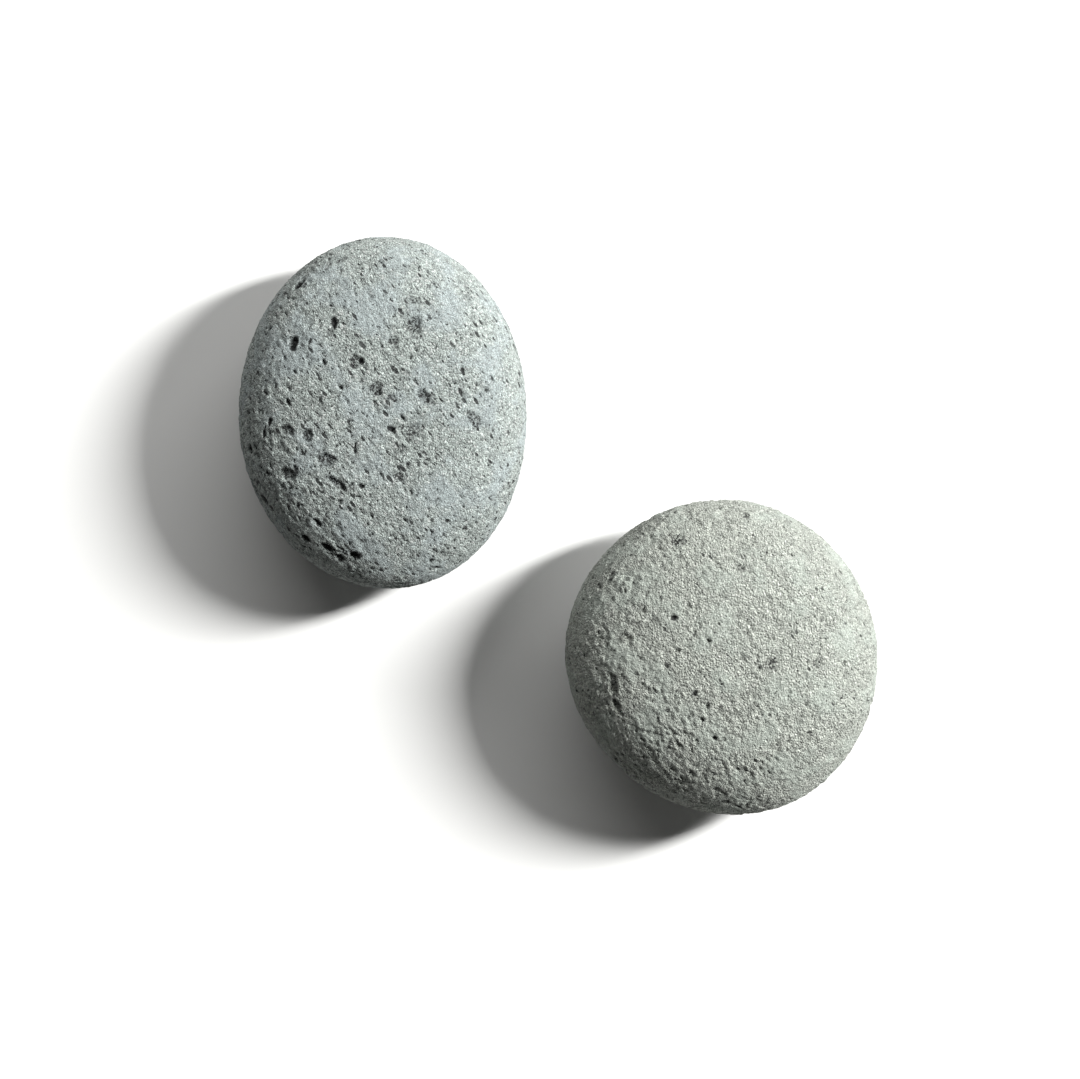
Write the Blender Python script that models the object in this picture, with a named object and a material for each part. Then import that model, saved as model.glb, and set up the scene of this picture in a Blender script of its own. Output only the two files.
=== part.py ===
"""A pair of basalt massage stones: one oval, one round, lying loose beside each other on a flat surface.

Each stone is a single solid pebble. It starts as a flattened ellipsoid whose outline has a few gentle
lobes, is then worn in a few broad places, and ends below in the small flat face on which it rests.

Units are metres and degrees. +Z is up and the table is at z = 0. The row's origin is under the middle
of the pair's bounding box. In plan +X runs to the right and +Y away from the reader.
"""

import math
from dataclasses import dataclass

import bmesh
import bpy
from mathutils import Vector

MM = 0.001

# Overall sizes of the oval stone
OVAL_LENGTH = 75.3 * MM
OVAL_WIDTH = 61.5 * MM
OVAL_THICKNESS = 32.5 * MM
OVAL_REST_WIDTH = 21.0 * MM

# Overall sizes of the round stone
ROUND_LENGTH = 67.9 * MM
ROUND_WIDTH = 65.5 * MM
ROUND_THICKNESS = 35.0 * MM
ROUND_REST_WIDTH = 22.0 * MM

# How the two lie on the table: the round stone is seen from the oval one along this bearing,
# and their outlines are this far apart along the line between them.
PAIR_BEARING = -35.7
PAIR_GAP = 22.2 * MM

# How finely each stone is divided: one more makes four times the triangles.
SPHERE_SUBDIVISIONS = 5
SMOOTH_SHADING_ANGLE = math.radians(25.0)


@dataclass(frozen=True)
class Lobes:
    """Gentle swellings spaced evenly round the outline, as many as count.

    share is their height as a share of the outline's radius, and bearing, in degrees in the stone's own
    frame, is where one of them peaks.
    """

    count: int
    share: float
    bearing: float

    def swell(self, angle):
        """What these lobes add to the outline's radius in this direction, as a share of it."""
        return self.share * math.cos(self.count * (angle - math.radians(self.bearing)))


@dataclass(frozen=True)
class WornFace:
    """A broad place where rolling has worn the pebble flatter.

    bearing is where the face looks in plan and rise how far it looks above the horizontal, in degrees.
    depth is how much is worn off at its middle. The wear dies out as the surface falls away from there,
    to a third by the time it has fallen by fade.
    """

    bearing: float
    rise: float
    depth: float
    fade: float

    def outward(self):
        """Unit vector at a right angle to the worn face, pointing out of the stone."""
        bearing, rise = math.radians(self.bearing), math.radians(self.rise)
        level = math.cos(rise)
        return Vector((level * math.cos(bearing), level * math.sin(bearing), math.sin(rise)))


@dataclass(frozen=True)
class Pebble:
    """The sizes of one stone. Its length runs along its own Y and its width along its own X.

    girth_share is the height of the widest section as a share of the thickness. A section_power of 2
    gives an elliptical section, and a higher one a flatter top with fuller shoulders.
    """

    name: str
    length: float
    width: float
    thickness: float
    rest_width: float
    girth_share: float
    turn: float
    section_power: float
    lobes: tuple
    worn_faces: tuple
    colour: tuple
    roughness: float

    def girth_height(self):
        """Height of the widest section above the table."""
        return self.girth_share * self.thickness

    def lower_depth(self):
        """Depth below the girth of the full shape, which the rest face cuts short."""
        rest_share = self.rest_width / min(self.length, self.width)
        cut_share = (1.0 - rest_share**self.section_power) ** (1.0 / self.section_power)
        return self.girth_height() / cut_share


OVAL_STONE = Pebble(
    name="oval_stone",
    length=OVAL_LENGTH,
    width=OVAL_WIDTH,
    thickness=OVAL_THICKNESS,
    rest_width=OVAL_REST_WIDTH,
    girth_share=0.48,
    turn=1.8,
    section_power=2.75,
    lobes=(Lobes(count=3, share=0.0074, bearing=-56.0), Lobes(count=4, share=0.0034, bearing=40.0)),
    worn_faces=(
        WornFace(bearing=35.0, rise=48.0, depth=0.6 * MM, fade=1.6 * MM),
        WornFace(bearing=285.0, rise=52.0, depth=0.5 * MM, fade=1.6 * MM),
        WornFace(bearing=170.0, rise=-45.0, depth=0.6 * MM, fade=1.6 * MM),
    ),
    colour=(0.235, 0.262, 0.255, 1.0),
    roughness=0.85,
)

ROUND_STONE = Pebble(
    name="round_stone",
    length=ROUND_LENGTH,
    width=ROUND_WIDTH,
    thickness=ROUND_THICKNESS,
    rest_width=ROUND_REST_WIDTH,
    girth_share=0.49,
    turn=35.2,
    section_power=2.3,
    lobes=(Lobes(count=3, share=0.0108, bearing=21.0), Lobes(count=4, share=0.0042, bearing=-33.0)),
    worn_faces=(
        WornFace(bearing=225.0, rise=35.0, depth=0.6 * MM, fade=1.8 * MM),
        WornFace(bearing=100.0, rise=-42.0, depth=0.6 * MM, fade=1.8 * MM),
    ),
    colour=(0.290, 0.312, 0.280, 1.0),
    roughness=0.85,
)


def clear_scene():
    """Remove every object that the scene starts with."""
    for obj in list(bpy.data.objects):
        bpy.data.objects.remove(obj, do_unlink=True)


def full_point(pebble, direction):
    """Point of the unworn pebble in this direction from the middle of its girth."""
    top = pebble.thickness - pebble.girth_height()
    depth = top if direction.z > 0.0 else pebble.lower_depth()
    angle = math.atan2(direction.y, direction.x)
    outline = 1.0 + sum(lobes.swell(angle) for lobes in pebble.lobes)
    plan = math.hypot(direction.x / (pebble.width / 2.0), direction.y / (pebble.length / 2.0)) / outline
    power = pebble.section_power
    return direction / (abs(direction.z / depth) ** power + plan**power) ** (1.0 / power)


def worn_point(point, full_reach, face):
    """Point moved in by a worn face, whose full shape reaches this far along the face's outward."""
    outward = face.outward()
    fall = full_reach - point.dot(outward)
    return point - outward * face.depth * math.exp(-fall / face.fade)


def pebble_mesh(pebble):
    """Mesh of one pebble, with its origin in the middle of its rest face."""
    bm = bmesh.new()
    bmesh.ops.create_icosphere(bm, subdivisions=SPHERE_SUBDIVISIONS, radius=1.0)
    for vert in bm.verts:
        vert.co = full_point(pebble, vert.co.normalized())
    for face in pebble.worn_faces:
        outward = face.outward()
        full_reach = max(vert.co.dot(outward) for vert in bm.verts)
        for vert in bm.verts:
            vert.co = worn_point(vert.co, full_reach, face)
    bmesh.ops.translate(bm, verts=bm.verts[:], vec=(0.0, 0.0, pebble.girth_height()))
    cut_rest_face(bm)
    mesh = bpy.data.meshes.new(pebble.name)
    bm.to_mesh(mesh)
    bm.free()
    mesh.shade_smooth()
    mesh.set_sharp_from_angle(angle=SMOOTH_SHADING_ANGLE)
    return mesh


def cut_rest_face(bm):
    """Cut the underside off at the table and close it with one flat face."""
    shape = bm.verts[:] + bm.edges[:] + bm.faces[:]
    bmesh.ops.bisect_plane(
        bm, geom=shape, dist=1e-8, plane_co=(0, 0, 0), plane_no=(0, 0, 1), clear_inner=True
    )
    rim = [edge for edge in bm.edges if edge.is_boundary]
    bmesh.ops.contextual_create(bm, geom=rim)
    bmesh.ops.recalc_face_normals(bm, faces=bm.faces[:])


def stone_material(pebble):
    """Dry, unpolished basalt in this stone's overall colour."""
    material = bpy.data.materials.new(pebble.name + "_basalt")
    material.use_nodes = True
    shader = material.node_tree.nodes["Principled BSDF"]
    shader.inputs["Base Color"].default_value = pebble.colour
    shader.inputs["Roughness"].default_value = pebble.roughness
    shader.inputs["Metallic"].default_value = 0.0
    return material


def outline_radius(pebble, bearing):
    """Distance from the stone's middle to its outline in plan, along a bearing in its own frame."""
    direction = Vector((math.cos(bearing), math.sin(bearing), 0.0))
    return full_point(pebble, direction).length


def make_stone(pebble, place):
    """One stone as a named object, resting on the table with its middle at this place."""
    stone = bpy.data.objects.new(pebble.name, pebble_mesh(pebble))
    stone.data.materials.append(stone_material(pebble))
    stone.location = place
    stone.rotation_euler.z = math.radians(pebble.turn)
    bpy.context.scene.collection.objects.link(stone)
    return stone


def round_stone_place():
    """Where the round stone lies, with the oval one at the origin."""
    bearing = math.radians(PAIR_BEARING)
    oval_reach = outline_radius(OVAL_STONE, bearing - math.radians(OVAL_STONE.turn))
    round_reach = outline_radius(ROUND_STONE, bearing + math.pi - math.radians(ROUND_STONE.turn))
    along = Vector((math.cos(bearing), math.sin(bearing), 0.0))
    return along * (oval_reach + PAIR_GAP + round_reach)


def centre_on_origin(stones):
    """Move the pair so that its bounding box is centred over the origin."""
    bpy.context.view_layer.update()
    corners = [stone.matrix_world @ vert.co for stone in stones for vert in stone.data.vertices]
    middle = Vector((0.0, 0.0, 0.0))
    for axis in (0, 1):
        values = [corner[axis] for corner in corners]
        middle[axis] = (min(values) + max(values)) / 2.0
    for stone in stones:
        stone.location -= middle


def main():
    """Make the two stones and lay them out."""
    clear_scene()
    oval = make_stone(OVAL_STONE, Vector((0.0, 0.0, 0.0)))
    round_one = make_stone(ROUND_STONE, round_stone_place())
    centre_on_origin([oval, round_one])


main()
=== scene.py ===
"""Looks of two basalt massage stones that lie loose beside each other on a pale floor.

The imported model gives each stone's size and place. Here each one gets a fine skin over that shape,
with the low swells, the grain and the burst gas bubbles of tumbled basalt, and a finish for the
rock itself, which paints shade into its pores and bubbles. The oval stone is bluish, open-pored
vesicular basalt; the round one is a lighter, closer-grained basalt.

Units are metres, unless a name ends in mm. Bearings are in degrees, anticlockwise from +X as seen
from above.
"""

import logging
import math
from dataclasses import dataclass
from enum import Enum
from typing import Any, Optional

import bmesh
import bpy
import numpy as np
from mathutils import Matrix, Vector, noise
from mathutils.bvhtree import BVHTree
from mathutils.kdtree import KDTree


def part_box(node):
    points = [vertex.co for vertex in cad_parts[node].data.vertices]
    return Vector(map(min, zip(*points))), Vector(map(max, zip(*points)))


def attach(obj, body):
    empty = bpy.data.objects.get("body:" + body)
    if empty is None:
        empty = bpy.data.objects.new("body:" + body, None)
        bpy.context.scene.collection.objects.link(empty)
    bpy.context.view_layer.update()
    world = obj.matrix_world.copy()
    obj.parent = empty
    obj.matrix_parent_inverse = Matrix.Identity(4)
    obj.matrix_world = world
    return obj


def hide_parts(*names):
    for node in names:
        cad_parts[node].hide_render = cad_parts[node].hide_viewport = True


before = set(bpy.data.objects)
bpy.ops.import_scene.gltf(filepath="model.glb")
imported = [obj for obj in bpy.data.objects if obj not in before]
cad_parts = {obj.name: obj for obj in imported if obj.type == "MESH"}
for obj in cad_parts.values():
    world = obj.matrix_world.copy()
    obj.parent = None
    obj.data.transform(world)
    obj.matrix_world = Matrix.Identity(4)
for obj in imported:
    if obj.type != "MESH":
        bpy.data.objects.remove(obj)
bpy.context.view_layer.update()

log = logging.getLogger("massage_stones")

Tree = bpy.types.NodeTree
Socket = bpy.types.NodeSocket

MM = 0.001
WHITE = "FFFFFF"
# Point attributes: how far into a pore a point lies, and how dark its inside is painted: painted
# shade, and a stain in stained pores.
PORE_REACH = "pore_reach"
PORE_DARKNESS = "pore_darkness"


def srgb(hex_colour: str) -> tuple[float, float, float, float]:
    """Turn an sRGB hex colour into Blender's linear colour.

    Args:
        hex_colour: Six hex digits, such as "8E9A9B".

    Returns:
        Red, green, blue and an alpha of 1.
    """
    levels = (int(hex_colour[place : place + 2], 16) / 255.0 for place in (0, 2, 4))
    linear = (v / 12.92 if v <= 0.04045 else ((v + 0.055) / 1.055) ** 2.4 for v in levels)
    return (*linear, 1.0)


def add_node(
    tree: Tree,
    kind: str,
    settings: Optional[dict[str, Any]] = None,
    inputs: Optional[dict[Any, Any]] = None,
) -> bpy.types.Node:
    """Add one shader node.

    Args:
        tree: The node tree to add it to.
        kind: The node's type, such as "ShaderNodeMix".
        settings: The node's own settings by name.
        inputs: A value or another node's output for each input socket, by its name or place.

    Returns:
        The new node.
    """
    node = tree.nodes.new(kind)
    for name, value in (settings or {}).items():
        setattr(node, name, value)
    for socket, value in (inputs or {}).items():
        if isinstance(value, Socket):
            tree.links.new(value, node.inputs[socket])
        else:
            node.inputs[socket].default_value = value
    return node


class PoreKind(Enum):
    """What a pore in the rock looks like. The value is how dark its inside is painted, from 0 to 1:
    painted shade in open and lined pores, a faint stain in stained ones.
    """

    OPEN = 1.0
    LINED = 0.3
    STAIN = 0.15


@dataclass(frozen=True)
class Pore:
    """One prominent pore on top of a stone.

    Attributes:
        x_mm: Place in plan, to the right of the stone's middle.
        y_mm: Place in plan, away from the reader.
        length_mm: Its longer size across.
        width_mm: Its shorter size across.
        bearing: Direction of its length.
        depth_mm: How deep it is.
        kind: What it looks like inside.
    """

    x_mm: float
    y_mm: float
    length_mm: float
    width_mm: float
    bearing: float
    depth_mm: float
    kind: PoreKind


@dataclass(frozen=True)
class PoreScatter:
    """Smaller pores strewn all over a stone.

    Attributes:
        count: How many there are.
        smallest_mm: Length of the smallest.
        largest_mm: Length of the largest. Small ones are far more common.
        slimness: Width of a pore as a share of its length.
        trend: Bearing that most of them are drawn out along, by the lava's flow.
        depth_share: Depth as a share of the width.
        darkness: How dark the painted shade inside them is, from 0 to 1.
        crowded_bearing: Side of the stone on which they are crowded.
        crowding: How much denser they are there than on the other side, 0 for evenly strewn.
    """

    count: int
    smallest_mm: float
    largest_mm: float
    slimness: float
    trend: float
    depth_share: float
    darkness: float
    crowded_bearing: float
    crowding: float


@dataclass(frozen=True)
class Relief:
    """One size of soft unevenness of a stone's skin.

    Attributes:
        size_mm: Distance from one swell to the next.
        height_mm: Height from hollow to swell.
        octaves: How many finer sizes are laid over it.
    """

    size_mm: float
    height_mm: float
    octaves: float


@dataclass(frozen=True)
class Grain:
    """Heads of crystals and lava clots that stand out of the worn skin, each by its own height.

    Attributes:
        size_mm: Distance from one head to the next, across the flow.
        height_mm: How far the highest stand above the creases between them.
        stretch: Length over width of a head.
        flow: Bearing that they are drawn out along.
        patch_mm: Size of the patches in which they stand out more or less.
    """

    size_mm: float
    height_mm: float
    stretch: float
    flow: float
    patch_mm: float


class PebbleSkin:
    """A fine, even mesh over one stone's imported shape, that relief and pores are pressed into."""

    MERGE_DISTANCE = 0.001 * MM
    SMOOTHING_FACTOR = 0.5

    # A head's height is shared out between its crown, the crease round it and its own lot.
    CROWN_SHARE = 0.35
    CROWN_POWER = 1.5
    CREASE_SHARE = 0.35
    CREASE_WIDTH = 0.25
    LOT_SHARE = 0.4
    LOT_SHUFFLE = 7.3

    # How much the heads' height changes from patch to patch, and the least that is left of it.
    PATCH_CONTRAST = 0.8
    LEAST_STRENGTH = 0.15

    # How ragged a pore's rim is, how steep its wall is and how uneven its floor is.
    PORE_SEARCH_SHARE = 0.9
    RIM_RAGGEDNESS = 0.35
    RIM_RAG_SHARE = 0.35
    WALL_STEEPNESS = 3.6
    WALL_POWER = 0.8
    FLOOR_UNEVENNESS = 0.5
    FLOOR_LUMP = 0.7 * MM

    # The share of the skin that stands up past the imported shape.
    PROUD_SHARE = 0.2

    def __init__(self, node: str, cuts: int, smoothings: int) -> None:
        """Lay the skin.

        Args:
            node: The stone's CAD node.
            cuts: How often each edge of the starting cube is cut.
            smoothings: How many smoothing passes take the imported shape's facets out.
        """
        low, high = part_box(node)
        self.middle = (low + high) / 2.0
        self.half = (high - low) / 2.0
        self.surface = self._packed_surface(node)
        self.mesh = bmesh.new()
        bmesh.ops.create_cube(self.mesh, size=2.0)
        bmesh.ops.subdivide_edges(
            self.mesh, edges=self.mesh.edges[:], cuts=cuts, use_grid_fill=True
        )
        for vert in self.mesh.verts:
            vert.co = self.surface.ray_cast(self.middle, self._aim(vert.co))[0]
        for _ in range(smoothings):
            bmesh.ops.smooth_vert(
                self.mesh,
                verts=self.mesh.verts[:],
                factor=self.SMOOTHING_FACTOR,
                use_axis_x=True,
                use_axis_y=True,
                use_axis_z=True,
            )
        self.mesh.normal_update()
        self.points = np.array([vert.co for vert in self.mesh.verts])
        self.normals = np.array([vert.normal for vert in self.mesh.verts])
        self.lowering = np.zeros(len(self.points))
        self.hollow = np.zeros(len(self.points))
        self.reach = np.full(len(self.points), -1.0)
        self.darkness = np.zeros(len(self.points))
        self.tree = self._point_tree()

    def _packed_surface(self, node: str) -> BVHTree:
        """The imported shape, as a merged copy that rays can be cast at.

        Args:
            node: The stone's CAD node.

        Returns:
            A search tree over its faces.
        """
        copy = bmesh.new()
        copy.from_mesh(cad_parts[node].data)
        bmesh.ops.remove_doubles(copy, verts=copy.verts[:], dist=self.MERGE_DISTANCE)
        tree = BVHTree.FromBMesh(copy)
        copy.free()
        return tree

    def _aim(self, corner: Vector) -> Vector:
        """Direction in which a point of the starting cube is sent out.

        The tangent spaces a cube face's grid evenly as seen from its middle. The square roots of
        the stone's sizes lie halfway between crowding the top and crowding the sides.

        Args:
            corner: The point on the cube.

        Returns:
            Unit vector.
        """
        even = Vector([math.tan(value * math.pi / 4.0) for value in corner]).normalized()
        shaped = [value * math.sqrt(size) for value, size in zip(even, self.half)]
        return Vector(shaped).normalized()

    def _point_tree(self) -> KDTree:
        """Search tree over the skin's points."""
        tree = KDTree(len(self.points))
        for index, point in enumerate(self.points):
            tree.insert(point, index)
        tree.balance()
        return tree

    def swell(self, relief: Relief, offset: Vector) -> None:
        """Raise and lower the skin in soft swells.

        Args:
            relief: Their size and height.
            offset: Shift of the noise, so that two stones differ.
        """
        scale = 1.0 / (relief.size_mm * MM)
        fineness_power, size_step = 1.0, 2.0
        heights = [
            noise.fractal(Vector(point) * scale + offset, fineness_power, size_step, relief.octaves)
            for point in self.points
        ]
        self.lowering -= np.array(heights) * relief.height_mm * MM / 2.0

    def grain(self, grain: Grain, offset: Vector) -> None:
        """Cover the skin in heads with creases between them.

        Args:
            grain: Their size, height and flow.
            offset: Shift of the pattern.
        """
        scale = 1.0 / (grain.size_mm * MM)
        across = Matrix.Rotation(-math.radians(grain.flow), 3, "Z")
        flow = Matrix.Diagonal((scale / grain.stretch, scale, scale)) @ across
        patch_scale = 1.0 / (grain.patch_mm * MM)
        for index, place in enumerate(self.points):
            point = Vector(place)
            distances, seeds = noise.voronoi(flow @ point + offset)
            crown = min(1.0, distances[0]) ** self.CROWN_POWER
            crease = math.exp((distances[0] - distances[1]) / self.CREASE_WIDTH)
            lot = noise.cell(seeds[0] * self.LOT_SHUFFLE)
            strength = 1.0 + self.PATCH_CONTRAST * noise.noise(point * patch_scale + offset)
            strength = max(self.LEAST_STRENGTH, strength)
            lowered = self.CROWN_SHARE * crown + self.CREASE_SHARE * crease + self.LOT_SHARE * lot
            self.lowering[index] += strength * grain.height_mm * MM * lowered

    def press_pore(
        self,
        at: Vector,
        outward: Vector,
        length: float,
        width: float,
        bearing: float,
        depth: float,
        darkness: float,
    ) -> None:
        """Press one pore into the skin, with a ragged rim and a rounded floor.

        Args:
            at: Its middle, on the skin.
            outward: The skin's normal there.
            length: Its longer size across.
            width: Its shorter size across.
            bearing: Direction of its length.
            depth: Its depth.
            darkness: How dark its inside is painted.
        """
        heading = math.radians(bearing)
        along = Vector((math.cos(heading), math.sin(heading), 0.0))
        along = (along - outward * along.dot(outward)).normalized()
        across = outward.cross(along)
        for point, index, _ in self.tree.find_range(at, length * self.PORE_SEARCH_SHARE):
            offset = point - at
            rag = noise.noise(point / (self.RIM_RAG_SHARE * length))
            ragged = 1.0 + self.RIM_RAGGEDNESS * rag
            share = math.hypot(offset.dot(along) * 2.0 / length, offset.dot(across) * 2.0 / width)
            reach = 1.0 - share * ragged
            if reach > self.reach[index]:
                self.reach[index] = reach
                self.darkness[index] = darkness
            if reach > 0.0:
                floor = 1.0 + self.FLOOR_UNEVENNESS * noise.noise(point / self.FLOOR_LUMP)
                wall = min(1.0, reach * self.WALL_STEEPNESS) ** self.WALL_POWER
                hollow = depth * wall * floor
                self.hollow[index] = max(self.hollow[index], hollow)

    def finish(self, name: str) -> bpy.types.Object:
        """Lower the skin by everything pressed into it and make it an object.

        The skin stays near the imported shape: a fifth of it stands up past that, but never past its
        box.

        Args:
            name: Name of the object.

        Returns:
            The object, smooth-shaded, with the pores as attributes of its points.
        """
        self.lowering += self.hollow - np.quantile(self.lowering, self.PROUD_SHARE)
        moved = self.points - self.normals * self.lowering[:, None]
        moved = np.clip(moved, self.middle - self.half, self.middle + self.half)
        for vert, place in zip(self.mesh.verts, moved):
            vert.co = place
        mesh = bpy.data.meshes.new(name)
        self.mesh.to_mesh(mesh)
        self.mesh.free()
        mesh.shade_smooth()
        for attribute, values in ((PORE_REACH, self.reach), (PORE_DARKNESS, self.darkness)):
            layer = mesh.attributes.new(attribute, "FLOAT", "POINT")
            layer.data.foreach_set("value", values.astype(np.float32))
        piece = bpy.data.objects.new(name, mesh)
        bpy.context.scene.collection.objects.link(piece)
        return piece


@dataclass(frozen=True)
class Bubbles:
    """Gas bubbles too small to press into the skin, cut open by tumbling.

    Attributes:
        apart_mm: Distance from one to the next.
        share: Share of them that are open, from 0 to 1.
        stretch: Length over width.
        largest: Half the width of the largest, as a share of that distance.
        depth_mm: How deep they look.
        darkness: How dark the painted shade in their cores is, from 0 to 1.
    """

    apart_mm: float
    share: float
    stretch: float
    largest: float
    depth_mm: float
    darkness: float


# How much of a noise's finer detail shows, from 0 to 1.
MIDDLING_NOISE = 0.6
COARSE_NOISE = 0.7
ROUGH_NOISE = 0.75

# Between these two values lies nearly all of a noise.
NOISE_LOW = 0.3
NOISE_HIGH = 0.7

# How far a place is shaken, as a share of a grain, and how many shakes there are to a grain.
SHAKE_SHARE = 1.4
SHAKES_PER_GRAIN = 0.8

# How many slow changes in tone there are across a patch.
TONES_PER_PATCH = 2.5

# What the plain patches keep of the rich ones' grains, crystals and bubbles.
PLAIN_LIVELINESS = 0.45
PLAIN_CRYSTALS = 0.4
PLAIN_BUBBLES = 0.35

# How far in from a bubble's edge its painted shade begins and it reaches its floor, as a share of
# its cell.
BUBBLE_RIM = 0.06
BUBBLE_WALL = 0.15

# How much less rough a crystal is than the ground mass.
CRYSTAL_GLINT = 0.25

# Unevenness inside a pore that is too fine for the skin.
PORE_PIT_MM = 0.4


@dataclass(frozen=True)
class BasaltFinish:
    """Tumbled, dry basalt: a close mosaic of grey grains with pale feldspar and tiny open bubbles,
    with painted shade in bubbles and pores.

    Attributes:
        name: Name of the material.
        cool: Colour of the plain, fine-grained patches.
        warm: Colour of the patches rich in crystals.
        pale: Colour of the feldspar crystals.
        hollow: Colour that what lies deep in a pore or bubble is dimmed by: painted shade, and in
            stained pores a stain.
        patch_mm: Size of the patches.
        grain_mm: Size of the mosaic's grains.
        grain_contrast: How much grains differ in brightness, from 0 to 1.
        grain_height_mm: How far a grain's head stands above the gaps between grains.
        crystal_mm: Spacing of the feldspar crystals.
        crystal_share: How strongly the crystals show, from 0 to 1.
        crystal_height_mm: How far a crystal stands above the grains.
        grit_mm: Size of the finest roughness that shows.
        grit_contrast: How much the grit differs in brightness, from 0 to 1.
        grit_height_mm: Its height.
        bubbles: The sizes of tiny bubbles.
        trend: Bearing that the bubbles are drawn out along.
        mottle: Strength of the slow changes in tone, from 0 to 1.
        roughness: Surface roughness of the dry stone.
    """

    name: str
    cool: str
    warm: str
    pale: str
    hollow: str
    patch_mm: float
    grain_mm: float
    grain_contrast: float
    grain_height_mm: float
    crystal_mm: float
    crystal_share: float
    crystal_height_mm: float
    grit_mm: float
    grit_contrast: float
    grit_height_mm: float
    bubbles: tuple[Bubbles, ...]
    trend: float
    mottle: float
    roughness: float

    def material(self) -> bpy.types.Material:
        """Build the material.

        Returns:
            The new material.
        """
        material = bpy.data.materials.new(self.name)
        material.use_nodes = True
        tree = material.node_tree
        shader = tree.nodes["Principled BSDF"]
        # Basalt's index is near 1.6; a dry tumbled face scatters almost all that it reflects.
        shader.inputs["IOR"].default_value = 1.6
        shader.inputs["Diffuse Roughness"].default_value = 0.4
        place = self._place(tree)
        rich = self._richness(tree, place)
        colour, height = self._mosaic(tree, place, rich)
        colour, height, crystals = self._crystals(tree, place, rich, colour, height)
        for bubbles in self.bubbles:
            colour, height = self._bubbles(tree, bubbles, place, rich, colour, height)
        colour, height = self._pores(tree, place, colour, height)
        # The feldspar's cleaved faces glint a little more than the ground mass.
        glint = self.roughness - CRYSTAL_GLINT
        gloss = add_node(
            tree,
            "ShaderNodeMapRange",
            inputs={"Value": crystals, "To Min": self.roughness, "To Max": glint},
        )
        bump = add_node(
            tree, "ShaderNodeBump", inputs={"Strength": 1.0, "Distance": MM, "Height": height}
        )
        tree.links.new(colour, shader.inputs["Base Color"])
        tree.links.new(gloss.outputs["Result"], shader.inputs["Roughness"])
        tree.links.new(bump.outputs["Normal"], shader.inputs["Normal"])
        return material

    def _place(self, tree: Tree) -> Socket:
        """Position on the stone in millimetres, shaken so that no grain is a clean shape.

        Args:
            tree: The material's nodes.

        Returns:
            The position.
        """
        own = add_node(tree, "ShaderNodeTexCoord").outputs["Object"]
        scaled = add_node(
            tree, "ShaderNodeVectorMath", {"operation": "SCALE"}, {0: own, "Scale": 1.0 / MM}
        ).outputs[0]
        shake = add_node(
            tree,
            "ShaderNodeTexNoise",
            inputs={
                "Vector": scaled,
                "Scale": SHAKES_PER_GRAIN / self.grain_mm,
                "Detail": 2.0,
                "Roughness": MIDDLING_NOISE,
            },
        ).outputs["Color"]
        centred = add_node(
            tree, "ShaderNodeVectorMath", {"operation": "SUBTRACT"}, {0: shake, 1: (0.5, 0.5, 0.5)}
        ).outputs[0]
        return add_node(
            tree,
            "ShaderNodeVectorMath",
            {"operation": "MULTIPLY_ADD"},
            {0: centred, 1: (SHAKE_SHARE * self.grain_mm,) * 3, 2: scaled},
        ).outputs[0]

    def _cells(
        self, tree: Tree, place: Socket, apart_mm: float
    ) -> tuple[Socket, tuple[Socket, ...]]:
        """Split the rock into cells, and draw three lots for each.

        Args:
            tree: The material's nodes.
            place: Position on the stone in millimetres.
            apart_mm: Distance from one cell to the next.

        Returns:
            The distance from the cell's middle, and the cell's lots.
        """
        cells = add_node(
            tree, "ShaderNodeTexVoronoi", inputs={"Vector": place, "Scale": 1.0 / apart_mm}
        )
        lots = add_node(tree, "ShaderNodeSeparateColor", inputs={0: cells.outputs["Color"]})
        return cells.outputs["Distance"], tuple(lots.outputs)

    def _richness(self, tree: Tree, place: Socket) -> Socket:
        """How rich in crystals and bubbles the rock is, from 0 in the plain patches to 1.

        Args:
            tree: The material's nodes.
            place: Position on the stone in millimetres.

        Returns:
            The richness.
        """
        patches = add_node(
            tree,
            "ShaderNodeTexNoise",
            inputs={
                "Vector": place,
                "Scale": 1.0 / self.patch_mm,
                "Detail": 3.0,
                "Roughness": MIDDLING_NOISE,
            },
        ).outputs["Fac"]
        plain_up_to, rich_from = 0.36, 0.56
        return add_node(
            tree,
            "ShaderNodeMapRange",
            {"interpolation_type": "SMOOTHSTEP"},
            {"Value": patches, "From Min": plain_up_to, "From Max": rich_from},
        ).outputs["Result"]

    def _mosaic(self, tree: Tree, place: Socket, rich: Socket) -> tuple[Socket, Socket]:
        """The ground mass: a mosaic of grains, each of its own tone, with fine grit over it.

        Args:
            tree: The material's nodes.
            place: Position on the stone in millimetres.
            rich: How rich in crystals the rock is.

        Returns:
            Its colour, and its height in millimetres.
        """
        ground = add_node(
            tree,
            "ShaderNodeMix",
            {"data_type": "RGBA"},
            {0: rich, 6: srgb(self.cool), 7: srgb(self.warm)},
        ).outputs[2]
        from_middle, (lot, _, _) = self._cells(tree, place, self.grain_mm)
        # Plain patches are finer grained, so their grains differ less in tone and stand up less.
        liveliness = add_node(
            tree,
            "ShaderNodeMapRange",
            inputs={"Value": rich, "To Min": PLAIN_LIVELINESS, "To Max": 1.0},
        ).outputs["Result"]
        centred_lot = add_node(
            tree, "ShaderNodeMath", {"operation": "SUBTRACT"}, {0: lot, 1: 0.5}
        ).outputs[0]
        lively_lot = add_node(
            tree, "ShaderNodeMath", {"operation": "MULTIPLY"}, {0: centred_lot, 1: liveliness}
        ).outputs[0]
        tone = add_node(
            tree,
            "ShaderNodeMath",
            {"operation": "MULTIPLY_ADD"},
            {0: lively_lot, 1: 2.0 * self.grain_contrast, 2: 1.0},
        ).outputs[0]
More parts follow.
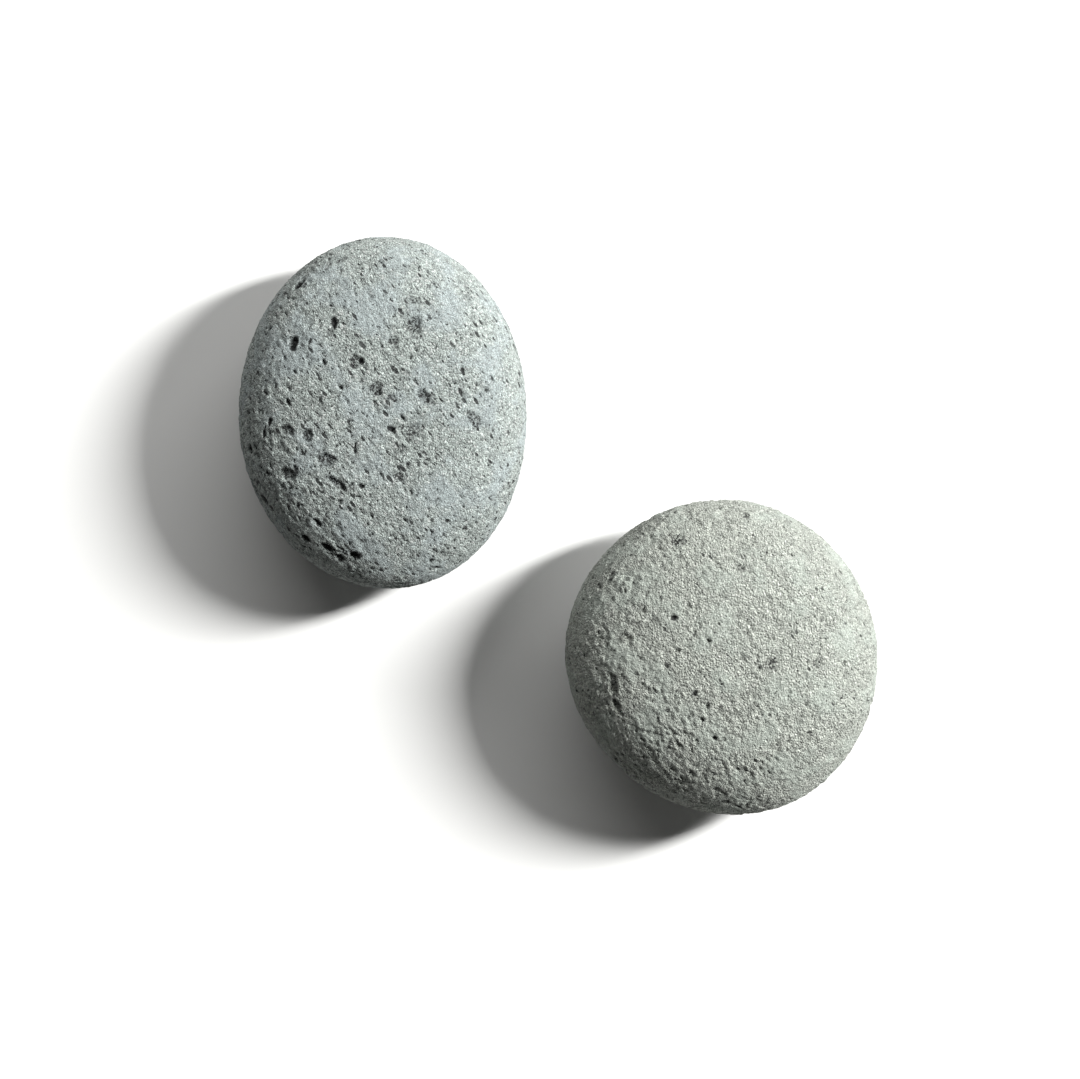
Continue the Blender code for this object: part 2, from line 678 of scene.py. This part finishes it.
        # Each noise, the grit's and the slow one, changes the tone by its own contrast.
        levels = []
        for scale, detail, roughness, contrast in (
            (1.0 / self.grit_mm, 2.0, COARSE_NOISE, self.grit_contrast),
            (TONES_PER_PATCH / self.patch_mm, 3.0, MIDDLING_NOISE, self.mottle),
        ):
            level = add_node(
                tree,
                "ShaderNodeTexNoise",
                inputs={"Vector": place, "Scale": scale, "Detail": detail, "Roughness": roughness},
            ).outputs["Fac"]
            change = add_node(
                tree,
                "ShaderNodeMapRange",
                inputs={
                    "Value": level,
                    "From Min": NOISE_LOW,
                    "From Max": NOISE_HIGH,
                    "To Min": 1.0 - contrast,
                    "To Max": 1.0 + contrast,
                },
            ).outputs["Result"]
            tone = add_node(
                tree, "ShaderNodeMath", {"operation": "MULTIPLY"}, {0: tone, 1: change}
            ).outputs[0]
            levels.append(level)
        grit, _ = levels
        colour = add_node(
            tree, "ShaderNodeVectorMath", {"operation": "SCALE"}, {0: ground, "Scale": tone}
        ).outputs[0]
        grit_height = add_node(
            tree, "ShaderNodeMath", {"operation": "MULTIPLY"}, {0: grit, 1: self.grit_height_mm}
        ).outputs[0]
        gap = add_node(
            tree, "ShaderNodeMath", {"operation": "MULTIPLY"}, {0: from_middle, 1: liveliness}
        ).outputs[0]
        height = add_node(
            tree,
            "ShaderNodeMath",
            {"operation": "MULTIPLY_ADD"},
            {0: gap, 1: -self.grain_height_mm, 2: grit_height},
        ).outputs[0]
        return colour, height

    def _crystals(
        self, tree: Tree, place: Socket, rich: Socket, colour: Socket, height: Socket
    ) -> tuple[Socket, Socket, Socket]:
        """Pale feldspar crystals, each of its own size.

        Args:
            tree: The material's nodes.
            place: Position on the stone in millimetres.
            rich: How rich in crystals the rock is.
            colour: Colour so far.
            height: Height so far, in millimetres.

        Returns:
            The new colour and height, and where the crystals are.
        """
        from_middle, (lot, _, _) = self._cells(tree, place, self.crystal_mm)
        empty_share, largest_share, soft_edge = 0.25, 0.62, 0.2
        size = add_node(
            tree,
            "ShaderNodeMapRange",
            inputs={"Value": lot, "From Min": empty_share, "To Min": 0.0, "To Max": largest_share},
        ).outputs["Result"]
        inner = add_node(
            tree, "ShaderNodeMath", {"operation": "SUBTRACT"}, {0: size, 1: soft_edge}
        ).outputs[0]
        mask = add_node(
            tree,
            "ShaderNodeMapRange",
            {"interpolation_type": "SMOOTHSTEP"},
            {"Value": from_middle, "From Min": size, "From Max": inner},
        ).outputs["Result"]
        strength = add_node(
            tree,
            "ShaderNodeMapRange",
            inputs={
                "Value": rich,
                "To Min": PLAIN_CRYSTALS * self.crystal_share,
                "To Max": self.crystal_share,
            },
        ).outputs["Result"]
        shown = add_node(
            tree, "ShaderNodeMath", {"operation": "MULTIPLY"}, {0: mask, 1: strength}
        ).outputs[0]
        new_colour = add_node(
            tree, "ShaderNodeMix", {"data_type": "RGBA"}, {0: shown, 6: colour, 7: srgb(self.pale)}
        ).outputs[2]
        new_height = add_node(
            tree,
            "ShaderNodeMath",
            {"operation": "MULTIPLY_ADD"},
            {0: shown, 1: self.crystal_height_mm, 2: height},
        ).outputs[0]
        return new_colour, new_height, shown

    def _bubbles(
        self,
        tree: Tree,
        bubbles: Bubbles,
        place: Socket,
        rich: Socket,
        colour: Socket,
        height: Socket,
    ) -> tuple[Socket, Socket]:
        """One size of tiny gas bubbles, drawn out along the flow.

        Args:
            tree: The material's nodes.
            bubbles: Their sizes and how many are open.
            place: Position on the stone in millimetres.
            rich: How rich in bubbles the rock is.
            colour: Colour so far.
            height: Height so far, in millimetres.

        Returns:
            The new colour and height.
        """
        drawn_out = add_node(
            tree,
            "ShaderNodeMapping",
            {"vector_type": "TEXTURE"},
            {
                "Vector": place,
                "Rotation": (0.0, 0.0, math.radians(self.trend)),
                "Scale": (bubbles.stretch, 1.0, 1.0),
            },
        ).outputs["Vector"]
        from_middle, (_, lot, _) = self._cells(tree, drawn_out, bubbles.apart_mm)
        closed = add_node(
            tree,
            "ShaderNodeMapRange",
            inputs={
                "Value": rich,
                "To Min": 1.0 - PLAIN_BUBBLES * bubbles.share,
                "To Max": 1.0 - bubbles.share,
            },
        ).outputs["Result"]
        size = add_node(
            tree,
            "ShaderNodeMapRange",
            inputs={"Value": lot, "From Min": closed, "To Min": 0.0, "To Max": bubbles.largest},
        ).outputs["Result"]
        # The wall is bare stone that the light picks out; only the core is dark, as painted shade.
        core = add_node(
            tree, "ShaderNodeMath", {"operation": "SUBTRACT"}, {0: size, 1: BUBBLE_RIM}
        ).outputs[0]
        inner = add_node(
            tree, "ShaderNodeMath", {"operation": "SUBTRACT"}, {0: size, 1: BUBBLE_WALL}
        ).outputs[0]
        mask = add_node(
            tree,
            "ShaderNodeMapRange",
            {"interpolation_type": "SMOOTHSTEP"},
            {"Value": from_middle, "From Min": size, "From Max": inner},
        ).outputs["Result"]
        dark = add_node(
            tree,
            "ShaderNodeMapRange",
            {"interpolation_type": "SMOOTHSTEP"},
            {"Value": from_middle, "From Min": core, "From Max": inner},
        ).outputs["Result"]
        shade = add_node(
            tree, "ShaderNodeMath", {"operation": "MULTIPLY"}, {0: dark, 1: bubbles.darkness}
        ).outputs[0]
        # Painted shade in the bubble's core: its colour is dimmed towards the hollow colour.
        new_colour = add_node(
            tree,
            "ShaderNodeMix",
            {"data_type": "RGBA", "blend_type": "MULTIPLY"},
            {0: shade, 6: colour, 7: srgb(self.hollow)},
        ).outputs[2]
        new_height = add_node(
            tree,
            "ShaderNodeMath",
            {"operation": "MULTIPLY_ADD"},
            {0: mask, 1: -bubbles.depth_mm, 2: height},
        ).outputs[0]
        return new_colour, new_height

    def _pores(
        self, tree: Tree, place: Socket, colour: Socket, height: Socket
    ) -> tuple[Socket, Socket]:
        """The pores that are pressed into the skin: a ragged rim and a crystal-lined inside, dimmed
        as painted shade, or tinted in stained pores.

        Args:
            tree: The material's nodes.
            place: Position on the stone in millimetres.
            colour: Colour so far.
            height: Height so far, in millimetres.

        Returns:
            The new colour and height.
        """
        reach = add_node(
            tree,
            "ShaderNodeAttribute",
            {"attribute_type": "GEOMETRY", "attribute_name": PORE_REACH},
        ).outputs["Fac"]
        darkness = add_node(
            tree,
            "ShaderNodeAttribute",
            {"attribute_type": "GEOMETRY", "attribute_name": PORE_DARKNESS},
        ).outputs["Fac"]
        rim_lump_mm, rim_lump_height = 0.5, 1.6
        ragged = add_node(
            tree,
            "ShaderNodeTexNoise",
            inputs={
                "Vector": place,
                "Scale": 1.0 / rim_lump_mm,
                "Detail": 3.0,
                "Roughness": ROUGH_NOISE,
            },
        ).outputs["Fac"]
        shifted = add_node(
            tree,
            "ShaderNodeMath",
            {"operation": "MULTIPLY_ADD"},
            {0: ragged, 1: rim_lump_height, 2: reach},
        ).outputs[0]
        # The noise averages a half, so the mean rim lies at half the lumps' height.
        rim, wall = rim_lump_height / 2.0, 0.35
        inside = add_node(
            tree,
            "ShaderNodeMapRange",
            {"interpolation_type": "SMOOTHSTEP"},
            {"Value": shifted, "From Min": rim, "From Max": rim + wall},
        ).outputs["Result"]
        crystal_mm = 0.45
        lining = add_node(
            tree,
            "ShaderNodeTexNoise",
            inputs={"Vector": place, "Scale": 1.0 / crystal_mm, "Detail": 1.0, "Roughness": 0.5},
        ).outputs["Fac"]
        # Painted shade: an open pore is dark throughout; a lined one shows crystals between dark
        # gaps.
        gaps_from_lined, gaps_from_open, gap_edge, crystal_shade = 0.58, 0.2, 0.1, 0.25
        dark_from = add_node(
            tree,
            "ShaderNodeMapRange",
            inputs={"Value": darkness, "To Min": gaps_from_lined, "To Max": gaps_from_open},
        ).outputs["Result"]
        dark_to = add_node(
            tree, "ShaderNodeMath", {"operation": "ADD"}, {0: dark_from, 1: gap_edge}
        ).outputs[0]
        gaps = add_node(
            tree,
            "ShaderNodeMapRange",
            inputs={
                "Value": lining,
                "From Min": dark_from,
                "From Max": dark_to,
                "To Min": crystal_shade,
            },
        ).outputs["Result"]
        shade = add_node(
            tree, "ShaderNodeMath", {"operation": "MULTIPLY"}, {0: inside, 1: gaps}
        ).outputs[0]
        # Painted shade inside the pore, and the tint of a stained one: its colour is dimmed towards
        # the hollow colour.
        new_colour = add_node(
            tree,
            "ShaderNodeMix",
            {"data_type": "RGBA", "blend_type": "MULTIPLY"},
            {0: shade, 6: colour, 7: srgb(self.hollow)},
        ).outputs[2]
        new_height = add_node(
            tree,
            "ShaderNodeMath",
            {"operation": "MULTIPLY_ADD"},
            {0: shade, 1: -PORE_PIT_MM, 2: height},
        ).outputs[0]
        return new_colour, new_height


# Vesicular basalt, rounded by tumbling and left dry: matt and bluish, with plain slate-blue patches
# between lighter, crystal-rich and porous ones. The rock's own grains and grit are mostly finer
# than 0.1 mm and wouldn't show, so they are drawn as coarse as they need to be.
VESICULAR_BASALT = BasaltFinish(
    name="tumbled vesicular basalt",
    cool="7B8382",
    warm="7C837F",
    pale="B2B4B1",
    # The hollow colour dims the insides of pores and bubbles as painted shade, and tints stained
    # pores.
    hollow="252C29",
    patch_mm=10.0,
    grain_mm=0.42,
    grain_contrast=0.45,
    grain_height_mm=0.46,
    crystal_mm=0.6,
    crystal_share=0.5,
    crystal_height_mm=0.05,
    grit_mm=0.22,
    grit_contrast=0.65,
    grit_height_mm=0.32,
    bubbles=(
        Bubbles(apart_mm=1.8, share=0.6, stretch=2.6, largest=0.33, depth_mm=0.70, darkness=0.9),
        Bubbles(apart_mm=1.15, share=0.8, stretch=2.6, largest=0.42, depth_mm=0.65, darkness=0.95),
        Bubbles(apart_mm=0.7, share=0.7, stretch=2.2, largest=0.42, depth_mm=0.45, darkness=0.8),
    ),
    trend=-50.0,
    mottle=0.10,
    roughness=0.88,
)

# Close-grained basalt, rounded by tumbling and left dry: matt, lighter and slightly greenish, with
# an even salt-and-pepper look and few open pores. Its grains and grit are drawn coarser than the
# rock's own, for the same reason.
CLOSE_GRAINED_BASALT = BasaltFinish(
    name="tumbled close-grained basalt",
    cool="898F87",
    warm="8A8E86",
    pale="C2C3BC",
    # The hollow colour dims the insides of pores and bubbles as painted shade, and tints stained
    # pores.
    hollow="2F332D",
    patch_mm=8.0,
    grain_mm=0.45,
    grain_contrast=0.32,
    grain_height_mm=0.80,
    crystal_mm=0.6,
    crystal_share=0.4,
    crystal_height_mm=0.05,
    grit_mm=0.22,
    grit_contrast=0.48,
    grit_height_mm=0.46,
    bubbles=(
        Bubbles(apart_mm=1.1, share=0.5, stretch=1.9, largest=0.38, depth_mm=0.55, darkness=0.8),
        Bubbles(apart_mm=0.7, share=0.5, stretch=1.7, largest=0.38, depth_mm=0.40, darkness=0.7),
    ),
    trend=-55.0,
    mottle=0.08,
    roughness=0.88,
)


# Shift of the noise for each step of a stone's seed, so that no two stones are alike.
SEED_SHIFT = (0.37, 0.71, 0.13)

# Height over a stone's middle from which its top is looked for, straight down.
WELL_ABOVE = 0.1

# How strewn pores vary round their scatter's own values, and how thin they get away from the
# crowded side.
TREND_SPREAD = 25.0
SLIMNESS_RANGE = (0.75, 1.3)
DARKNESS_RANGE = (0.5, 1.0)
SMALL_SIZE_POWER = 2.0
LEAST_CROWDING = 0.1


@dataclass(frozen=True)
class Stone:
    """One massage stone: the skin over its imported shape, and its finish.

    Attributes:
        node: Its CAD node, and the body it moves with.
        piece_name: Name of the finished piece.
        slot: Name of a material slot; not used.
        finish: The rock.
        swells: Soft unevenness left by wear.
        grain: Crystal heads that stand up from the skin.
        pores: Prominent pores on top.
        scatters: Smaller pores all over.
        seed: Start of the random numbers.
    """

    node: str
    piece_name: str
    slot: str
    finish: BasaltFinish
    swells: tuple[Relief, ...]
    grain: Grain
    pores: tuple[Pore, ...]
    scatters: tuple[PoreScatter, ...]
    seed: int

    def build(self, cuts: int = 127, smoothings: int = 50) -> bpy.types.Object:
        """Make the stone and hand it to the frame.

        Args:
            cuts: How finely the skin is divided.
            smoothings: How many passes take the facets out.

        Returns:
            The finished piece.
        """
        skin = PebbleSkin(self.node, cuts, smoothings)
        offset = Vector(SEED_SHIFT) * self.seed
        for swell in self.swells:
            skin.swell(swell, offset)
        skin.grain(self.grain, offset)
        for scatter in self.scatters:
            self._strew(skin, scatter)
        for pore in self.pores:
            self._place_pore(skin, pore)
        piece = skin.finish(self.piece_name)
        piece.data.materials.append(self.finish.material())
        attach(piece, self.node)
        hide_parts(self.node)
        return piece

    def _place_pore(self, skin: PebbleSkin, pore: Pore) -> None:
        """Press a prominent pore into the top, straight below its place in plan.

        Args:
            skin: The stone's skin.
            pore: The pore.
        """
        above = skin.middle + Vector((pore.x_mm * MM, pore.y_mm * MM, WELL_ABOVE))
        point, normal, _, _ = skin.surface.ray_cast(above, Vector((0.0, 0.0, -1.0)))
        if point is None:
            log.warning("%s: a pore at %.1f, %.1f mm misses it", self.node, pore.x_mm, pore.y_mm)
            return
        skin.press_pore(
            point,
            normal,
            pore.length_mm * MM,
            pore.width_mm * MM,
            pore.bearing,
            pore.depth_mm * MM,
            pore.kind.value,
        )

    def _strew(self, skin: PebbleSkin, scatter: PoreScatter) -> None:
        """Press small pores into the whole skin at random.

        Args:
            skin: The stone's skin.
            scatter: How many, how large and where.
        """
        chance = np.random.default_rng(self.seed + scatter.count)
        heading = math.radians(scatter.crowded_bearing)
        outward = (skin.points - np.array(skin.middle)) / np.array(skin.half)
        side = outward[:, 0] * math.cos(heading) + outward[:, 1] * math.sin(heading)
        weight = np.clip(1.0 + scatter.crowding * side, LEAST_CROWDING, None)
        picked = chance.choice(
            len(skin.points), scatter.count, replace=False, p=weight / weight.sum()
        )
        size_range = scatter.largest_mm / scatter.smallest_mm
        size_lots = chance.random(scatter.count) ** SMALL_SIZE_POWER
        sizes = scatter.smallest_mm * size_range**size_lots
        turns = scatter.trend + chance.normal(0.0, TREND_SPREAD, scatter.count)
        slims = scatter.slimness * chance.uniform(*SLIMNESS_RANGE, scatter.count)
        darks = scatter.darkness * chance.uniform(*DARKNESS_RANGE, scatter.count)
        for index, size, turn, slim, dark in zip(picked, sizes, turns, slims, darks):
            width = size * min(slim, 1.0)
            skin.press_pore(
                Vector(skin.points[index]),
                Vector(skin.normals[index]),
                size * MM,
                width * MM,
                turn,
                width * scatter.depth_share * MM,
                dark,
            )


# Each pore is given as x_mm, y_mm, length_mm, width_mm, bearing, depth_mm and kind.
OVAL_STONE = Stone(
    node="oval_stone",
    piece_name="oval_stone_skin",
    slot="oval_basalt",
    finish=VESICULAR_BASALT,
    swells=(
        Relief(size_mm=14.0, height_mm=0.25, octaves=2.0),
        Relief(size_mm=3.0, height_mm=0.15, octaves=2.0),
    ),
    grain=Grain(size_mm=0.85, height_mm=0.27, stretch=1.8, flow=-50.0, patch_mm=5.0),
    pores=(
        Pore(-18.0, 13.8, 3.4, 2.2, 75.0, 1.0, PoreKind.OPEN),
        Pore(-4.9, 9.9, 3.6, 3.0, -30.0, 0.5, PoreKind.LINED),
        Pore(-3.8, 10.0, 1.8, 1.4, -30.0, 0.8, PoreKind.OPEN),
        Pore(-0.7, 4.2, 3.4, 3.0, 40.0, 0.5, PoreKind.LINED),
        Pore(7.4, 17.5, 3.9, 3.5, 60.0, 0.4, PoreKind.LINED),
        Pore(3.0, 14.2, 2.4, 2.2, 0.0, 0.3, PoreKind.LINED),
        Pore(-9.5, 18.1, 2.6, 1.5, 100.0, 0.7, PoreKind.OPEN),
        Pore(-10.2, 16.1, 2.0, 1.7, 0.0, 0.1, PoreKind.STAIN),
        Pore(9.3, 2.7, 3.8, 2.6, -50.0, 0.4, PoreKind.LINED),
        Pore(10.1, 1.8, 1.4, 1.0, -50.0, 0.5, PoreKind.OPEN),
        Pore(3.0, 2.2, 3.0, 1.4, -45.0, 0.25, PoreKind.LINED),
        Pore(7.4, 22.7, 4.5, 2.0, -15.0, 0.2, PoreKind.STAIN),
        Pore(19.7, -2.1, 4.5, 2.8, -50.0, 0.3, PoreKind.LINED),
        Pore(7.0, -4.3, 4.2, 3.4, 20.0, 0.15, PoreKind.STAIN),
        Pore(-19.2, -4.3, 3.2, 2.4, -20.0, 0.5, PoreKind.LINED),
        Pore(-14.9, -5.4, 3.0, 2.4, 60.0, 0.5, PoreKind.LINED),
        Pore(3.9, -8.5, 2.3, 2.2, 0.0, 0.1, PoreKind.STAIN),
        Pore(-8.8, -15.4, 5.0, 1.6, -35.0, 0.6, PoreKind.LINED),
        Pore(-11.3, -10.4, 4.2, 3.0, -10.0, 0.5, PoreKind.LINED),
        Pore(-19.0, -13.5, 4.0, 2.6, -20.0, 0.5, PoreKind.LINED),
        Pore(4.1, -14.3, 2.5, 2.2, 0.0, 0.3, PoreKind.LINED),
        Pore(-3.6, -16.0, 1.6, 1.0, -30.0, 0.5, PoreKind.OPEN),
        Pore(-4.9, -8.1, 2.6, 0.7, 88.0, 0.5, PoreKind.OPEN),
        Pore(-5.5, -30.5, 2.4, 2.0, -20.0, 1.0, PoreKind.OPEN),
        Pore(-11.3, -28.8, 2.8, 1.5, -40.0, 0.8, PoreKind.OPEN),
        Pore(-15.7, -26.9, 2.2, 1.5, -45.0, 0.8, PoreKind.OPEN),
        Pore(-13.0, -23.6, 1.9, 1.0, -45.0, 0.6, PoreKind.OPEN),
        Pore(-8.6, -30.9, 2.0, 1.5, -30.0, 0.8, PoreKind.OPEN),
        Pore(-17.2, 26.6, 3.6, 1.3, 42.0, 0.7, PoreKind.OPEN),
        Pore(-8.4, 31.8, 3.2, 1.5, 20.0, 0.2, PoreKind.STAIN),
        Pore(17.4, 8.1, 1.9, 0.9, 95.0, 0.4, PoreKind.OPEN),
        Pore(17.0, 3.6, 1.9, 1.0, -60.0, 0.4, PoreKind.OPEN),
        Pore(22.4, 4.2, 1.6, 1.3, 90.0, 0.3, PoreKind.LINED),
        Pore(-27.6, -8.1, 2.2, 1.3, 90.0, 0.6, PoreKind.OPEN),
        Pore(-23.0, -2.5, 2.2, 1.0, 75.0, 0.5, PoreKind.OPEN),
        Pore(-24.3, -5.0, 2.3, 0.8, 80.0, 0.5, PoreKind.OPEN),
        Pore(-24.8, -18.6, 2.6, 1.5, 120.0, 0.6, PoreKind.OPEN),
        Pore(-14.4, 14.2, 1.8, 0.8, 80.0, 0.4, PoreKind.OPEN),
        Pore(2.4, -4.1, 1.7, 1.2, -30.0, 0.5, PoreKind.OPEN),
        Pore(4.7, -3.7, 1.4, 1.2, 0.0, 0.4, PoreKind.LINED),
        Pore(14.1, -23.2, 1.3, 1.0, 0.0, 0.4, PoreKind.OPEN),
    ),
    scatters=(
        PoreScatter(
            count=260,
            smallest_mm=0.9,
            largest_mm=2.0,
            slimness=0.4,
            trend=-50.0,
            depth_share=0.75,
            darkness=0.45,
            crowded_bearing=215.0,
            crowding=0.95,
        ),
        PoreScatter(
            count=1250,
            smallest_mm=0.8,
            largest_mm=1.3,
            slimness=0.4,
            trend=-50.0,
            depth_share=0.75,
            darkness=0.35,
            crowded_bearing=215.0,
            crowding=0.8,
        ),
    ),
    seed=3,
)

ROUND_STONE = Stone(
    node="round_stone",
    piece_name="round_stone_skin",
    slot="round_basalt",
    finish=CLOSE_GRAINED_BASALT,
    swells=(
        Relief(size_mm=12.0, height_mm=0.25, octaves=2.0),
        Relief(size_mm=3.0, height_mm=0.12, octaves=2.0),
    ),
    grain=Grain(size_mm=0.9, height_mm=0.36, stretch=1.6, flow=-58.0, patch_mm=6.0),
    pores=(
        Pore(-11.0, 8.8, 1.7, 1.4, 0.0, 0.4, PoreKind.OPEN),
        Pore(-15.2, 8.4, 2.2, 1.6, 0.0, 0.1, PoreKind.STAIN),
        Pore(-10.0, 24.8, 4.4, 2.8, -40.0, 0.25, PoreKind.LINED),
        Pore(4.6, 30.1, 1.8, 1.6, 0.0, 0.2, PoreKind.LINED),
        Pore(2.9, 19.4, 3.8, 1.6, -50.0, 0.15, PoreKind.STAIN),
        Pore(9.1, -0.7, 3.6, 3.2, 60.0, 0.1, PoreKind.STAIN),
        Pore(18.9, -0.5, 2.8, 2.4, 0.0, 0.1, PoreKind.STAIN),
        Pore(-23.9, 17.1, 3.2, 1.4, 75.0, 0.3, PoreKind.LINED),
        Pore(-6.7, -6.8, 1.4, 1.0, 70.0, 0.5, PoreKind.OPEN),
        Pore(-22.7, -21.5, 1.6, 1.2, 60.0, 0.6, PoreKind.OPEN),
        Pore(-23.4, -5.2, 5.0, 1.8, 100.0, 0.45, PoreKind.STAIN),
        Pore(-22.9, -9.3, 3.2, 1.6, 115.0, 0.5, PoreKind.STAIN),
        Pore(17.3, -15.3, 1.5, 1.3, 0.0, 0.2, PoreKind.LINED),
        Pore(1.0, -11.0, 1.6, 1.2, 0.0, 0.1, PoreKind.STAIN),
        Pore(4.8, -9.9, 1.8, 1.4, 0.0, 0.1, PoreKind.STAIN),
        Pore(-1.5, -27.3, 1.8, 1.3, -40.0, 0.3, PoreKind.LINED),
        Pore(0.4, -30.2, 2.2, 1.2, 0.0, 0.3, PoreKind.LINED),
        Pore(-2.5, -16.1, 1.1, 0.9, 0.0, 0.3, PoreKind.OPEN),
        Pore(-12.3, -10.3, 1.4, 1.3, 0.0, 0.15, PoreKind.LINED),
        Pore(-16.6, 13.8, 1.3, 1.0, 60.0, 0.2, PoreKind.LINED),
    ),
    scatters=(
        PoreScatter(
            count=220,
            smallest_mm=0.8,
            largest_mm=1.6,
            slimness=0.5,
            trend=-58.0,
            depth_share=0.5,
            darkness=0.3,
            crowded_bearing=225.0,
            crowding=0.9,
        ),
        PoreScatter(
            count=800,
            smallest_mm=0.6,
            largest_mm=1.0,
            slimness=0.55,
            trend=-58.0,
            depth_share=0.5,
            darkness=0.25,
            crowded_bearing=225.0,
            crowding=0.8,
        ),
    ),
    seed=8,
)


@dataclass(frozen=True)
class Lamp:
    """A rectangular soft light that shines at the stones.

    Attributes:
        name: Name of the light.
        bearing: Where it stands, seen from above.
        rise: Its height above the horizon, in degrees.
        distance: How far away it is.
        width: Its size across.
        height: Its size up and down.
        watts: Its power.
        colour: Its colour.
    """

    name: str
    bearing: float
    rise: float
    distance: float
    width: float
    height: float
    watts: float
    colour: str

    def build(self) -> bpy.types.Object:
        """Make the light.

        Returns:
            The light object.
        """
        data = bpy.data.lights.new(self.name, "AREA")
        data.shape = "RECTANGLE"
        data.size = self.width
        data.size_y = self.height
        data.energy = self.watts
        data.color = srgb(self.colour)[:3]
        lamp = bpy.data.objects.new(self.name, data)
        bearing, rise = math.radians(self.bearing), math.radians(self.rise)
        level = math.cos(rise)
        away = Vector((level * math.cos(bearing), level * math.sin(bearing), math.sin(rise)))
        lamp.location = away * self.distance
        lamp.rotation_euler = away.to_track_quat("Z", "Y").to_euler()
        bpy.context.scene.collection.objects.link(lamp)
        return lamp


@dataclass(frozen=True)
class Studio:
    """Pale floor, soft light and a camera that looks straight down.

    Attributes:
        floor_size: Width of the square floor.
        floor_colour: Its colour.
        lamps: The lights.
        sky_strength: Even light from all around.
        camera_x: Where the camera stands, to the right of the pair's middle.
        camera_y: Where it stands, away from the reader.
        camera_height: Its height above the floor.
        lens_mm: Focal length.
        sensor_mm: Width of the camera's sensor.
    """

    floor_size: float
    floor_colour: str
    lamps: tuple[Lamp, ...]
    sky_strength: float
    camera_x: float
    camera_y: float
    camera_height: float
    lens_mm: float
    sensor_mm: float

    def build(self) -> None:
        """Make the floor, the lights, the sky and the camera."""
        bpy.context.scene.view_settings.view_transform = "Standard"
        self._floor()
        for lamp in self.lamps:
            lamp.build()
        self._light_sky()
        self._set_camera()

    def _light_sky(self) -> None:
        """Give the scene an even white light from all around."""
        world = bpy.data.worlds.new("studio")
        world.use_nodes = True
        sky = world.node_tree.nodes["Background"]
        sky.inputs["Strength"].default_value = self.sky_strength
        sky.inputs["Color"].default_value = srgb(WHITE)
        bpy.context.scene.world = world

    def _set_camera(self) -> None:
        """Hang the camera over the stones, looking straight down."""
        data = bpy.data.cameras.new("camera")
        data.lens = self.lens_mm
        data.sensor_width = self.sensor_mm
        data.clip_start = 0.01
        camera = bpy.data.objects.new("camera", data)
        camera.location = (self.camera_x, self.camera_y, self.camera_height)
        bpy.context.scene.collection.objects.link(camera)
        bpy.context.scene.camera = camera

    def _floor(self) -> bpy.types.Object:
        """The floor, just under the stones.

        Returns:
            The floor object.
        """
        plane = bmesh.new()
        bmesh.ops.create_grid(plane, x_segments=1, y_segments=1, size=self.floor_size / 2.0)
        mesh = bpy.data.meshes.new("floor")
        plane.to_mesh(mesh)
        plane.free()
        # Matt white paper: it mirrors nothing and shows only the stones' soft shadows.
        material = bpy.data.materials.new("white paper")
        material.use_nodes = True
        shader = material.node_tree.nodes["Principled BSDF"]
        shader.inputs["Base Color"].default_value = srgb(self.floor_colour)
        shader.inputs["Roughness"].default_value = 0.9
        mesh.materials.append(material)
        floor = bpy.data.objects.new("floor", mesh)
        bpy.context.scene.collection.objects.link(floor)
        return floor


STUDIO = Studio(
    floor_size=3.0,
    floor_colour="CBCBC9",
    lamps=(
        Lamp(
            name="key",
            bearing=20.0,
            rise=36.0,
            distance=1.2,
            width=0.12,
            height=0.44,
            watts=46.5,
            colour=WHITE,
        ),
        Lamp(
            name="window",
            bearing=86.0,
            rise=32.0,
            distance=1.2,
            width=1.6,
            height=0.5,
            watts=15.5,
            colour=WHITE,
        ),
    ),
    sky_strength=0.09,
    camera_x=-3.9 * MM,
    camera_y=-2.9 * MM,
    camera_height=571.0 * MM,
    lens_mm=86.7,
    sensor_mm=36.0,
)


def main() -> None:
    """Build the stones and the studio, in order, and report each piece."""
    logging.basicConfig(level=logging.INFO, format="%(name)s: %(message)s")
    for stone in (OVAL_STONE, ROUND_STONE):
        piece = stone.build()
        log.info("%s: %d faces", piece.name, len(piece.data.polygons))
    STUDIO.build()
    log.info("studio: %d lamps", len(STUDIO.lamps))


if __name__ == "__main__":
    main()
